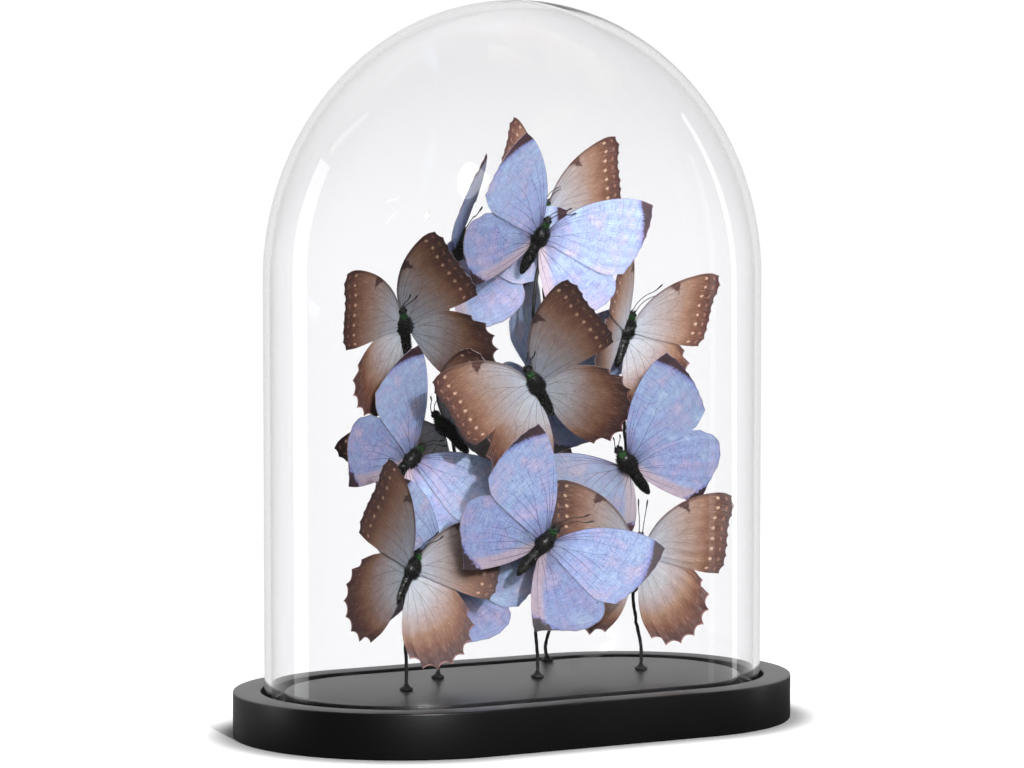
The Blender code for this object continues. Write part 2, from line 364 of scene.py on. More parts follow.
def makeBase():
    outer = base["depth"] / 2
    grooveOuter = outer - base["rim"]
    grooveInner = grooveOuter - base["groove"]
    top = base["height"]
    floor = top - base["grooveDepth"]
    corners = [(0, 0), (outer, 0), (outer, top), (grooveOuter, top), (grooveOuter, floor),
               (grooveInner, floor), (grooveInner, top), (0, top)]
    profile = roundedProfile(corners, base["roundEdge"])
    pile = meshPile()
    pile.addLoops([oval(radius, level) for radius, level in profile], 0)
    piece = pile.build("baseWood", [blackLacquer()])
    piece.data.set_sharp_from_angle(angle=math.radians(base["sharp"]))
    dress(piece, "base", "base")


dome = {
    "radius": 84.2, "wall": 4.0,
    "foot": 19.3, "spring": 272.5, "top": 439.7,
    "sideSteps": 24, "capSteps": 44, "lipSteps": 9,
    "ior": 1.5, "tint": (250, 250, 251), "shadowTint": (248, 248, 248),
}


def clearGlass():
    bench = nodeBench("clearGlass", Roughness=0.0, IOR=dome["ior"], Transmission_Weight=1,
                      Base_Color=ink(dome["tint"]))
    # light passes through to what stands inside
    bench.letThrough(bench.rays()["Is Shadow Ray"], dome["shadowTint"])
    return bench.owner


def domeSkin(radius, top):
    start = dome["foot"] + dome["wall"] / 2
    levels = [start, start + 0.5, start + 1.5, start + 4,
              *np.linspace(start + 10, dome["spring"], dome["sideSteps"])]
    loops = [oval(radius, level) for level in levels]
    for turn in np.linspace(0, math.pi / 2, dome["capSteps"])[1:-1]:
        level = dome["spring"] + (top - dome["spring"]) * math.sin(turn)
        loops.append(oval(radius, level, math.cos(turn)))
    loops.append(oval(radius, top, 0.003))
    return loops


def makeDome():
    outside = domeSkin(dome["radius"], dome["top"])
    inside = domeSkin(dome["radius"] - dome["wall"], dome["top"] - dome["wall"])
    lip = []
    for turn in np.linspace(0, math.pi, dome["lipSteps"])[1:-1]:
        radius = dome["radius"] - dome["wall"] / 2 * (1 - math.cos(turn))
        lip.append(oval(radius, dome["foot"] + dome["wall"] / 2 * (1 - math.sin(turn))))
    pile = meshPile()
    pile.addLoops(outside[::-1] + lip + inside, 0)
    piece = pile.build("domeGlass", [clearGlass()])
    form = bmesh.new()
    form.from_mesh(piece.data)
    bmesh.ops.recalc_face_normals(form, faces=form.faces)
    form.to_mesh(piece.data)
    form.free()
    dress(piece, "dome_glass", "glass_dome")


# outlines of the right wings, in mm, x out from the body and y towards the head
wingShapes = {
    "blueFore": {
        "front": ((3, 4), (7, 12), (14, 22), (24, 31), (36, 38), (47, 41.5), (55.5, 41.5)),
        "outer": ((55.5, 41.5), (58, 32), (58.5, 20), (57, 8), (54.5, -1.5)),
        "rear": ((2, -1), (20, -4), (38, -6.5), (46, -6), (54.5, -1.5)),
        "teeth": 7, "toothDepth": 0.35, "rows": 43,
    },
    "brownFore": {
        "front": ((3, 4), (5, 13), (11, 24.5), (21, 35), (33, 42), (44, 45.5), (50, 44.5)),
        "outer": ((50, 44.5), (52.5, 38), (51.5, 27), (52.5, 14), (52.5, 3), (50, -3)),
        "rear": ((2, -1), (22, -3), (40, -4), (50, -3)),
        "teeth": 8, "toothDepth": 0.9, "rows": 57,
    },
    "blueHind": {
        "front": ((2, -1), (18, 1), (36, -2.5), (46, -8)),
        "outer": ((46, -8), (51.5, -17), (50, -25), (44.5, -32.5), (36, -38), (29, -42.5),
                  (24, -46.5)),
        "rear": ((2, -9), (5, -19), (11, -31), (18, -41), (24, -46.5)),
        "teeth": 7, "toothDepth": 0.4, "rows": 43,
    },
    "brownHind": {
        "front": ((2, -1), (18, 2.5), (31, -2), (41, -9)),
        "outer": ((41, -9), (47, -18), (47.8, -27), (45, -38), (37.5, -47), (27, -52.5),
                  (16, -50)),
        "rear": ((2, -10), (4, -27), (8.5, -40), (16, -50)),
        "teeth": 7, "toothDepth": 3.0, "rows": 71,
    },
}

# veins run over a wing as (across, along) points: 0,0 is the front of the root
veinRuns = {
    "Fore": (
        ((0.0, 0.0), (0.0, 0.5), (0.0, 1.0)),
        ((0.12, 0.0), (0.10, 0.35), (0.03, 0.66)),
        ((0.20, 0.0), (0.17, 0.4), (0.12, 0.75), (0.05, 1.0)),
        ((0.28, 0.0), (0.25, 0.3), (0.27, 0.54), (0.24, 0.8), (0.17, 1.0)),
        ((0.27, 0.54), (0.34, 0.60), (0.42, 0.56), (0.48, 0.48)),
        ((0.34, 0.60), (0.33, 0.8), (0.30, 1.0)),
        ((0.42, 0.56), (0.43, 0.8), (0.44, 1.0)),
        ((0.62, 0.0), (0.58, 0.22), (0.48, 0.48), (0.54, 0.75), (0.58, 1.0)),
        ((0.55, 0.32), (0.63, 0.6), (0.71, 1.0)),
        ((0.60, 0.16), (0.73, 0.5), (0.83, 1.0)),
        ((0.84, 0.0), (0.90, 0.5), (0.94, 1.0)),
    ),
    "Hind": (
        ((0.16, 0.0), (0.08, 0.3), (0.05, 0.8), (0.04, 1.0)),
        ((0.30, 0.0), (0.22, 0.3), (0.18, 0.7), (0.17, 1.0)),
        ((0.26, 0.2), (0.33, 0.5), (0.33, 1.0)),
        ((0.33, 0.42), (0.40, 0.47), (0.47, 0.42)),
        ((0.40, 0.47), (0.45, 0.7), (0.47, 1.0)),
        ((0.58, 0.0), (0.52, 0.25), (0.52, 0.6), (0.60, 1.0)),
        ((0.53, 0.22), (0.64, 0.6), (0.72, 1.0)),
        ((0.66, 0.0), (0.74, 0.5), (0.84, 1.0)),
        ((0.86, 0.0), (0.90, 0.5), (0.93, 1.0)),
    ),
}

wing = {
    "columns": 26,
    "thickness": 0.3,
    "hinge": 3.0,
    "levels": (2.0, 0.9),  # forewing and hindwing, over the body's middle
    "bend": (1.5, 1.5), "bendSpan": 55,
    "ripple": 0.12, "ripples": 40,
    "veinRoot": 0.26, "veinTip": 0.15,  # radii of the veins, sunk in the wing near its edge
    "veinSteps": 18, "veinSides": 5,
    "paintedShadeDeepening": 0.6,  # how much deeper the colours of a wing with painted shade are
    "sharp": 60,
}

# where each butterfly's middle is (mm), how it is turned, and how its wings are set (degrees):
# spin turns the head clockwise as seen from the front, lean tips the head to the front,
# turn is about the vertical; lift, sweep and bend are right, left.
# each wing's painted light and shade, as a factor on its colours, paler above 1 and darker below:
# right fore, right hind, left fore, left hind.
# feelers: the way both point from straight ahead, the angle between them, and their length.
butterflyPlaces = {
    "butterfly_blue_top": dict(
        at=(11, -7, 297), spin=25, lean=6, turn=-19, lift=(14, 29), sweep=(4, 11),
        hindSweep=(11, 9), size=1.03, feelers=(45, 8, 16), tone=(0.94, 0.95, 0.85, 0.74)),
    "butterfly_brown_top": dict(
        at=(52, 56, 306), spin=8, lean=-22, turn=-28, lift=(27, 51), sweep=(9, 7),
        hindSweep=(0, 0), size=1.02, feelers=(52, 6, 22), tone=(1.05, 1.12, 1.12, 1.12)),
    "butterfly_blue_upper_left": dict(
        at=(-13, 49, 288), spin=25, lean=-5, turn=-17, lift=(42, 76), sweep=(-2, 7),
        hindSweep=(4, 0), size=1.10, bend=(1.5, -3.0), feelers=(20, 20, 16),
        tone=(1.20, 1.09, 0.95, 0.90)),
    "butterfly_brown_left": dict(
        at=(-63, 27, 244), spin=-13, lean=23, turn=-11, lift=(22, 29), sweep=(26, 10),
        hindSweep=(19, 0), size=1.01, feelers=(38, 10, 12), tone=(0.50, 0.49, 0.69, 0.89)),
    "butterfly_brown_middle": dict(
        at=(5, -12, 209), spin=-33, lean=19, turn=-12, lift=(12, 16), sweep=(7, -3),
        hindSweep=(-4, 1), size=1.09, feelers=(36, 12, 11), tone=(0.51, 0.61, 0.87, 0.83)),
    "butterfly_blue_left": dict(
        at=(-53, 37, 162), spin=51, lean=-11, turn=3, lift=(11, 21), sweep=(-2, 0),
        hindSweep=(9, -4), size=1.02, feelers=(36, 8, 14), tone=(0.94, 0.93, 0.85, 0.71)),
    "butterfly_blue_middle_back": dict(
        at=(41, 48, 207), spin=23, lean=-18, turn=-7, lift=(30, 43), sweep=(17, 16),
        hindSweep=(0, -4), size=1.02, feelers=(10, 24, 14), tone=(0.6, 0.5, 0.92, 0.92)),
    "butterfly_blue_front": dict(
        at=(-1, -33, 114), spin=42, lean=-10, turn=-17, lift=(13, 18), sweep=(-1, 5),
        hindSweep=(6, 6), size=1.05, feelers=(34, 7, 21), tone=(0.59, 0.47, 0.70, 0.61)),
    "butterfly_brown_right": dict(
        at=(85, 11, 238), spin=21, lean=-18, turn=-15, lift=(35, 65), sweep=(-2, -5),
        hindSweep=(1, 5), size=1.01, bend=(1.5, -2.5), feelers=(33, 6, 27),
        tone=(0.99, 0.99, 1.15, 0.90)),
    "butterfly_blue_right": dict(
        at=(64, -23, 159), spin=-37, lean=13, turn=-16, lift=(1, -43), sweep=(1, -20),
        hindSweep=(-2, 4), size=1.06, feelers=(24, 14, 9), tone=(0.72, 0.77, 1.40, 1.40)),
    "butterfly_brown_left_back": dict(
        at=(-24, 45, 181), spin=-36, lean=28, turn=-25, lift=(20, 9), sweep=(0, -13),
        hindSweep=(0, 17), size=1.06, feelers=(32, 8, 14), tone=(0.69, 0.69, 0.69, 0.69)),
    "butterfly_brown_low_left": dict(
        at=(-78, -8, 100), spin=33, lean=-7, turn=12, lift=(21, 8), sweep=(8, -1),
        hindSweep=(4, -9), size=1.04, feelers=(26, 6, 18), tone=(0.64, 0.72, 0.46, 0.47)),
    "butterfly_brown_low_right": dict(
        at=(80, -11, 102), spin=6, lean=5, turn=-34, lift=(6, 2), sweep=(-3, -7),
        hindSweep=(-3, -1), size=1.03, feelers=(-2, 9, 22), tone=(0.90, 0.96, 0.72, 0.85)),
    "butterfly_blue_low_left": dict(
        at=(-44, 18, 99), spin=22, lean=6, turn=-14, lift=(16, 22), sweep=(-4, 1),
        hindSweep=(4, 0), size=1.00, feelers=(15, 20, 14), tone=(0.80, 0.69, 0.95, 1.00)),
    "butterfly_brown_low_back": dict(
        at=(45, 65, 118), spin=-27, lean=-2, turn=-47, lift=(10, 74), sweep=(0, 0),
        hindSweep=(0, 0), size=0.97, feelers=(0, 24, 14), tone=(0.92, 0.92, 0.92, 0.92)),
}


def wingNet(shape):
    # a net of points from the root to the outer edge, drawn between the four sides
    rows, columns = shape["rows"], wing["columns"]
    front = evenCurve(shape["front"], columns)
    rear = evenCurve(shape["rear"], columns)
    outer = evenCurve(shape["outer"], rows)
    u = np.linspace(0, 1, rows)
    v = np.linspace(0, 1, columns)
    # the margin dips between its teeth
    slope = unit(np.gradient(outer, axis=0))
    inward = np.column_stack([slope[:, 1], -slope[:, 0]])
    bite = np.abs(np.sin(math.pi * u * shape["teeth"])) ** 0.7 * shape["toothDepth"]
    dip = inward * bite[:, None]
    across, along = np.meshgrid(u, v, indexing="ij")
    a, b = across[..., None], along[..., None]
    root = front[0] + (rear[0] - front[0]) * u[:, None]
    net = ((1 - a) * front[None] + a * rear[None] + (1 - b) * root[:, None] + b * outer[:, None]
           - (1 - a) * (1 - b) * front[0] - a * (1 - b) * rear[0]
           - (1 - a) * b * front[-1] - a * b * rear[-1])
    net = net + dip[:, None] * (b ** 5)
    return across, along, net


def readNet(net, runs):
    # points of the net at (across, along) places
    rows, columns = net.shape[:2]
    places = np.clip(runs, 0, 1) * (rows - 1, columns - 1)
    low = np.minimum(places.astype(int), (rows - 2, columns - 2))
    part = places - low
    i, j = low[:, 0], low[:, 1]
    s, t = part[:, :1], part[:, 1:]
    return ((1 - s) * (1 - t) * net[i, j] + s * (1 - t) * net[i + 1, j]
            + (1 - s) * t * net[i, j + 1] + s * t * net[i + 1, j + 1])


def setWing(flat, height, side, lift, sweep, bend):
    # sweeps, bends and lifts points of a wing drawn flat for the right side
    turn = math.radians(sweep)
    x = flat[:, 0] * math.cos(turn) - flat[:, 1] * math.sin(turn)
    y = flat[:, 0] * math.sin(turn) + flat[:, 1] * math.cos(turn)
    out = x - wing["hinge"]
    height = height + bend * (np.hypot(out, 0.5 * y) / wing["bendSpan"]) ** 2
    fold = math.radians(lift)
    reach = out * math.cos(fold) - height * math.sin(fold) + wing["hinge"]
    return np.column_stack([side * reach, y, out * math.sin(fold) + height * math.cos(fold)])


def ripple(across, along, seed):
    return wing["ripple"] * np.sin(across * wing["ripples"] + seed) * along


def addWing(pile, kind, hind, setting, tone, seed):
    part = "Hind" if hind else "Fore"
    across, along, net = wingNet(wingShapes[kind + part])
    rows, columns = across.shape
    count = rows * columns
    flat = net.reshape(-1, 2)
    # each wing carries its painted light and shade factor into the mesh
    fields = {"across": across.ravel(), "along": along.ravel(), "tone": np.full(count, tone),
              "flatPlace": np.column_stack([flat, np.full(count, seed * 37.0)])}
    for name, edge in (("toMargin", net[:, -1:]), ("toFront", net[:1]), ("toRear", net[-1:])):
        fields[name] = np.linalg.norm(net - edge, axis=2).ravel()
    order = setting[0]
    grid = []
    for i in range(rows - 1):
        for j in range(columns - 1):
            a = i * columns + j
            grid.append([a, a + columns, a + columns + 1, a + 1][::order])
    level = wing["levels"][hind]
    middle = level + ripple(across.ravel(), along.ravel(), seed)
    half = wing["thickness"] / 2
    skins = [setWing(flat, middle + away, *setting) for away in (half, -half)]
    faces = grid + [[i + count for i in face[::-1]] for face in grid]
    finishes = [hind] * len(grid) + [2] * len(grid)
    rim = ([i * columns for i in range(rows)]
           + [(rows - 1) * columns + j for j in range(1, columns)]
           + [i * columns + columns - 1 for i in range(rows - 2, -1, -1)]
           + [j for j in range(columns - 2, 0, -1)])
    for a, b in zip(rim, rim[1:] + rim[:1]):
        faces.append([a, a + count, b + count, b][::order])
        finishes.append(3)
    both = {key: np.concatenate([values, values]) for key, values in fields.items()}
    pile.add(np.vstack(skins), faces, finishes, both)
    sides = wing["veinSides"]
    for run in veinRuns[part]:
        path = evenCurve(run, wing["veinSteps"])
        reach = path[:, 1]
        height = level + ripple(path[:, 0], reach, seed)
        core = setWing(readNet(net, path), height, *setting)
        radii = wing["veinRoot"] + (wing["veinTip"] - wing["veinRoot"]) * reach
        pile.addLoops(tube(core, radii, sides), 4, {
            "along": np.repeat(reach, sides), "tone": np.full(len(reach) * sides, tone)})


def placing(pose):
    # takes a butterfly's own millimetres to its place in the dome
    upright = Matrix(((1, 0, 0), (0, 0, -1), (0, 1, 0))).to_4x4()
    spin = Matrix.Rotation(math.radians(-pose["spin"]), 4, "Z")
    lean = Matrix.Rotation(math.radians(pose["lean"]), 4, "X")
    turn = Matrix.Rotation(math.radians(pose["turn"]), 4, "Z")
    move = Matrix.Translation(Vector(pose["at"]) * mm)
    return move @ turn @ lean @ upright @ spin @ Matrix.Scale(pose["size"] * mm, 4)


# colours are as seen on screen. A layer says where it starts and ends, how strong it is and
# its colour. Places on a wing are in mm from its edges.
blueWings = {
    "mottle": (0.075, 5, 0.62),  # size, detail and roughness of the patches
    "ground": [(0.30, (190, 210, 232)), (0.41, (171, 193, 227)), (0.50, (163, 180, 218)),
               (0.59, (184, 185, 218)), (0.72, (208, 197, 216))],
    "alongFore": [(0.0, (140, 128, 144)), (0.13, (202, 196, 206)), (0.30, (246, 246, 250)),
                  (0.75, (255, 254, 250))],
    "alongHind": [(0.0, (140, 130, 140)), (0.14, (214, 208, 214)), (0.32, (250, 248, 250)),
                  (0.60, (244, 242, 250)), (0.96, (255, 250, 248))],
    "lines": (0.56, 0.66, 0.34, (112, 116, 186)),
    "paleLines": (0.54, 0.66, 0.42, (226, 224, 240)),
    "barNet": (6, 60, 7.0), "bars": (0.54, 0.64, 0.36, (112, 116, 186)),
    "wobble": 5, "outer": (8, 0, 0.16, (116, 122, 192)),
    "fold": (9, 5, 0.85, (204, 186, 194)),
    "tipReach": (7.5, 9.5), "tip": [(0.35, (44, 27, 36)), (0.6, (74, 42, 50))],
    "border": (3.5, 0.5, 0.55, (116, 122, 192)),  # starts and ends outside the tip's patch
    "flecks": (0.71, 0.76, 0.7, (104, 96, 150)),
    "edge": (0.8, 0.2, 0.6, (112, 96, 130)),
    "veins": [(0.02, (44, 34, 50)), (0.62, (112, 108, 152))],
}
brownWings = {
    "mottle": (0.06, 4, 0.6), "mottleDrift": 0.22, "streakDrift": 0.14,
    "fore": [(0.02, (182, 192, 204)), (0.24, (178, 180, 190)), (0.40, (173, 165, 166)),
             (0.56, (163, 142, 134)), (0.70, (148, 112, 92)), (0.84, (112, 70, 50)),
             (0.94, (86, 50, 44)), (1.0, (78, 45, 42))],
    "hind": [(0.02, (196, 206, 216)), (0.32, (192, 191, 196)), (0.52, (173, 154, 151)),
             (0.66, (150, 115, 93)), (0.80, (114, 70, 50)), (0.91, (84, 50, 47)),
             (1.0, (74, 45, 46))],
    "paleLines": (0.54, 0.70, 0.30, (232, 214, 190)),
    "darkLines": (0.44, 0.26, 0.25, (104, 70, 52)),
    "wedgeAt": 36, "wedgeHalf": 3.6, "wedgeRagged": 5, "wedge": (0.8, -0.5, 1, (78, 46, 42)),
    "frontEdge": (2.4, 0.4, 0.7, (78, 46, 42)),
    "corner": (17, 4, 0.75, (78, 46, 42)),
    # in each space between veins: from the margin, half long, half wide
    "spots": (8.4, 0.9, 1.0), "spot": (1.35, 0.7, 0.75, (220, 192, 166)),
    "dashes": (3.4, 1.2, 0.6), "dash": (1.35, 0.7, 0.5, (190, 140, 112)),
    "edge": (2.6, 0.6, 0.6, (70, 42, 42)),
    "rim": (0.75, (196, 146, 140)),
    "flecks": (0.72, 0.77, 0.6, (78, 46, 42)),
    "veins": [(0.02, (148, 142, 144)), (0.62, (122, 92, 76))],
}
wingBacks = {
    "mottle": (0.12, 5, 0.65),
    "dark": (92, 80, 76), "light": (134, 120, 112),
    "bandAt": 10, "band": (2.2, 0.8, 0.35, (92, 80, 76)),
}
scaleCoat = {
    "roughness": 0.6, "metallic": 0.2,
    "streaks": (70, 3), "fineStreaks": (190, 9),  # how many across and along a wing
    "worn": (0.35, 4, 0.7), "wornShare": 0.5,
    "scales": (1.6, 3, 0.7), "scalesShare": 0.7,
    "least": 0.40, "relief": 0.35, "reliefDepth": 0.4,
}
wingEdge = dict(light=(214, 204, 200), dark=(150, 136, 132), scale=400, roughness=0.6)


class wingBench(nodeBench):
    # a bench that knows the places on a wing

    def __init__(self, name):
        super().__init__(name, Roughness=scaleCoat["roughness"], Metallic=scaleCoat["metallic"])
        names = ("across", "along", "toMargin", "toFront", "toRear")
        self.across, self.along, self.toMargin, self.toFront, self.toRear = map(self.field, names)
        self.flat = self.field("flatPlace", "Vector")
        self.streak = self.streaks(*scaleCoat["streaks"], self.toMargin)
        self.fineStreak = self.streaks(*scaleCoat["fineStreaks"], 3.0)

    def streaks(self, across, along, depth):
        return self.cloud(self.vector(self.times(self.across, across),
                                      self.times(self.along, along), depth), 1.0, 2)

    def finishWing(self):
        # patches of worn and fresh scales, then the fine grain of the scales themselves
        worn = self.cloud(self.flat, *scaleCoat["worn"])
        scales = self.cloud(self.flat, *scaleCoat["scales"])
        shade = self.plus(self.times(worn, scaleCoat["wornShare"]),
                          self.times(scales, scaleCoat["scalesShare"]))
        shade = self.plus(shade, scaleCoat["least"])
        colour = self.mix(1.0, self.colour, self.vector(shade, shade, shade), "MULTIPLY")
        # each wing's painted light and shade goes on last
        self.finish(Base_Color=self.withPaintedShading(colour))
        self.bump(self.plus(self.times(self.fineStreak, 0.6), scales), scaleCoat["relief"],
                  scaleCoat["reliefDepth"] * mm)
        return self.owner


def blueWing(name, hind):
    bench = wingBench(name)
    mottle = bench.cloud(bench.flat, *blueWings["mottle"])
    bench.colour = bench.ramp(mottle, blueWings["ground"])
    bench.layer(bench.streak, *blueWings["lines"])
    bench.layer(bench.fineStreak, *blueWings["paleLines"])
    bench.layer(bench.streaks(*blueWings["barNet"]), *blueWings["bars"])
    shade = bench.ramp(bench.along, blueWings["alongHind" if hind else "alongFore"])
    bench.colour = bench.mix(1.0, bench.colour, shade, "MULTIPLY")
    wobble = bench.sway(bench.fineStreak, blueWings["wobble"])
    outer = bench.plus(bench.toMargin, wobble)
    bench.layer(outer, *blueWings["outer"])
    if hind:
        bench.layer(bench.plus(bench.toRear, wobble), *blueWings["fold"])
        corner = bench.plus(outer, bench.times(bench.toRear, 0.8))
        corner = bench.plus(corner, bench.sway(bench.cloud(bench.flat, 0.4, 3), 9))
    else:
        corner = bench.plus(outer, bench.times(bench.toFront, 0.30))
    reach = blueWings["tipReach"][hind]
    start, end, strength, colour = blueWings["border"]
    bench.layer(corner, reach + start, reach + end, strength, colour)
    tip = bench.ramp(mottle, blueWings["tip"])
    bench.colour = bench.mix(bench.fade(corner, reach + 0.6, reach - 0.6), bench.colour, tip)
    bench.layer(bench.cloud(bench.flat, 0.42, 2), *blueWings["flecks"])
    bench.layer(bench.toMargin, *blueWings["edge"])
    return bench.finishWing()


def spots(bench, depth, halfLong, halfWide, spaces=8):
    # how far each place is from the spot in its space between two veins, by the spot's size
    place = bench.minus(bench.calc("FRACT", bench.times(bench.across, spaces)), 0.5)
    sideways = bench.calc("DIVIDE", bench.times(place, 48 / spaces), halfLong)
    inward = bench.calc("DIVIDE", bench.minus(bench.toMargin, depth), halfWide)
    return bench.distance(sideways, inward)


def brownWing(name, hind):
    bench = wingBench(name)
    mottle = bench.cloud(bench.flat, *brownWings["mottle"])
    drift = bench.plus(bench.sway(mottle, brownWings["mottleDrift"]),
                       bench.sway(bench.streak, brownWings["streakDrift"]))
    reach = bench.plus(bench.along, drift)
    bench.colour = bench.ramp(reach, brownWings["hind" if hind else "fore"])
    bench.layer(bench.fineStreak, *brownWings["paleLines"])
    bench.layer(bench.fineStreak, *brownWings["darkLines"])
    if not hind:
        # the dark wedge on the front edge
        bowed = bench.plus(bench.times(bench.along, 66), bench.times(bench.toFront, -0.35))
        fromWedge = bench.calc("ABSOLUTE", bench.minus(bowed, brownWings["wedgeAt"]))
        ragged = bench.sway(bench.cloud(bench.flat, 0.5, 3), brownWings["wedgeRagged"])
        half = bench.minus(bench.plus(brownWings["wedgeHalf"], ragged),
                           bench.times(bench.toFront, 0.5))
        bench.layer(bench.minus(fromWedge, half), *brownWings["wedge"])
        bench.layer(bench.toFront, *brownWings["frontEdge"])
        corner = bench.plus(bench.toMargin, bench.times(bench.toFront, 0.8))
        bench.layer(corner, *brownWings["corner"])
        bench.layer(spots(bench, *brownWings["spots"]), *brownWings["spot"])
        bench.layer(spots(bench, *brownWings["dashes"]), *brownWings["dash"])
    bench.layer(bench.toMargin, *brownWings["edge"])
    if hind:
        rim = bench.times(bench.fade(bench.toMargin, 1.0, 0.6),
                          bench.fade(bench.toMargin, 0.1, 0.4))
        bench.lay(rim, *brownWings["rim"])
    bench.layer(bench.cloud(bench.flat, 0.5, 2), *brownWings["flecks"])
    return bench.finishWing()


def wingBack(name):
    bench = wingBench(name)
    mottle = bench.cloud(bench.flat, *wingBacks["mottle"])
    bench.colour = bench.ramp(mottle, [(0.3, wingBacks["dark"]), (0.7, wingBacks["light"])])
    fromBand = bench.calc("ABSOLUTE", bench.minus(bench.toMargin, wingBacks["bandAt"]))
    bench.layer(fromBand, *wingBacks["band"])
    return bench.finishWing()


def veinFinish(name, stops):
    bench = nodeBench(name, Roughness=0.6, Metallic=0.3)
    broken = bench.sway(bench.cloud(bench.place(), 350, 3), 0.5)
    colour = bench.ramp(bench.plus(bench.field("along"), broken), stops)
    # the veins take their wing's painted light and shade too
    bench.finish(Base_Color=bench.withPaintedShading(colour))
    return bench.owner


def makeWingFinishes():
    edge = plainFinish("wingEdge", **wingEdge)
    sets = {}
    for kind, paint, look in (("blue", blueWing, blueWings), ("brown", brownWing, brownWings)):
        sets[kind] = [paint(kind + "Forewings", 0), paint(kind + "Hindwings", 1),
                      wingBack(kind + "WingBacks"), edge, veinFinish(kind + "Veins", look["veins"])]
    return sets


body = {
    "thorax": ((0, 0.6, 1.0), (4.9, 7.0, 4.4)),  # middle and radii
    "head": ((0, 9.8, 1.4), (2.2, 2.2, 2.0)),
    "eye": ((1.75, 10.4, 1.7), (1.1, 1.25, 1.25)),
    "palp": ((0.9, 11.8, 1.9), (0.6, 1.5, 0.65)),
    "abdomen": dict(front=-3.0, rear=-24.5, radius=3.3, swell=0.25, segments=7, groove=0.32),
    "feeler": dict(root=(1.0, 11.4, 2.4), rise=2.6, radius=0.26, club=(0.34, 0.46, 0.5, 0.28)),
    "collar": ((0, 7.4, 3.4), (1.7, 1.3, 1.0)),
    "back": ((0, -11, 0), (3.3, 11.5, 3.0)),
    # coats: hairs, shortest and longest, finish, and how thick beside the rest
    "palpCoat": (60, (0.3, 0.7), 0, 1),
    "coats": (
        ("thorax", 1300, (0.7, 2.3), 0, 1),
        ("head", 260, (0.5, 1.2), 0, 1),
        ("collar", 200, (0.6, 1.3), 1, 1.3),
        ("back", 520, (0.5, 1.5), 0, 0.8),
    ),
    "hairWidth": 0.24, "hairLean": (0, -0.45, 0), "hairSpread": 0.35,
    "finishes": {
        "blackFur": dict(light=(30, 30, 28), dark=(3, 3, 3), scale=900, roughness=0.3,
                         shine=0.45),
        "greenFur": dict(light=(58, 108, 56), dark=(10, 26, 14), scale=900, roughness=0.8,
                         shine=0.15),
        "darkAbdomen": dict(light=(28, 28, 26), dark=(4, 4, 4), scale=420, roughness=0.25,
                            lumps=1.0, shine=0.3),
        "feelers": dict(light=(24, 20, 18), dark=(9, 8, 8), scale=900, roughness=0.5,
                        shine=0.3),
        "eyes": dict(light=(24, 22, 20), dark=(8, 7, 7), scale=2500, roughness=0.15, lumps=0.2),
    },
}


def addFur(pile, centre, radii, count, lengths, finish, thick):
    # one slim closed spike for each hair
    ways = unit(chance.normal(size=(count, 3)))
    roots = np.array(centre) + ways * radii
    ways = unit(ways / radii)
    ways = ways + body["hairLean"] + chance.normal(scale=body["hairSpread"], size=ways.shape)
    long = chance.uniform(*lengths, size=count)
    ways = unit(ways)
    side = unit(np.cross(ways, chance.normal(size=ways.shape)))
    other = np.cross(ways, side)
    width = body["hairWidth"] * thick
    corners = []
    for turn in circle(3):
        corners.append(roots + width * (math.cos(turn) * side + math.sin(turn) * other))
    points = np.stack([*corners, roots + ways * long[:, None]], axis=1).reshape(-1, 3)
    faces = []
    for i in range(0, len(points), 4):
        faces += [[i, i + 1, i + 3], [i + 1, i + 2, i + 3], [i + 2, i, i + 3], [i + 2, i + 1, i]]
    pile.add(points, faces, finish)


def addBall(pile, centre, radii, finish, sides=18, rings=12):
    turns = np.linspace(0.08, math.pi - 0.08, rings)
    rows = [(centre[1] + radii[1] * math.cos(turn), radii[0] * math.sin(turn),
             radii[2] * math.sin(turn), centre[2]) for turn in turns]
    pile.addLoops(ringed(rows, sides, centre[0]), finish)


def addAbdomen(pile):
    look = body["abdomen"]
    rows = []
    steps = look["segments"] * 6
    for k in range(steps + 1):
        t = k / steps
        y = look["front"] + (look["rear"] - look["front"]) * t
        within = (t * look["segments"]) % 1
        swell = (look["radius"] * math.sqrt(max(0, 1 - t ** 3.4))
                 + look["swell"] * math.sin(t * math.pi))
        groove = look["groove"] * math.exp(-(min(within, 1 - within) / 0.12) ** 2)
        radius = max(0.3, swell - groove)
        rows.append((y, radius, radius * 0.92, 0.4 - 1.2 * t))
    pile.addLoops(ringed(rows, 20), 2)


def addFeelers(pile, heading, spread, length):
    look = body["feeler"]
    x, y, z = look["root"]
    for side in (1, -1):
        way = math.radians(heading + side * spread / 2)
        path = []
        for t in np.linspace(0, 1, 5):
            reach = length * t
            turned = way * min(1, 0.25 + t)
            path.append((side * x + reach * math.sin(turned), y + reach * math.cos(turned),
                         z + look["rise"] * math.sin(t * 2.0) + side * 0.35 * t))
        radii = np.full(16, look["radius"])
        radii[-4:] = look["club"]
        pile.addLoops(tube(evenCurve(path, 16), radii, 6), 3)


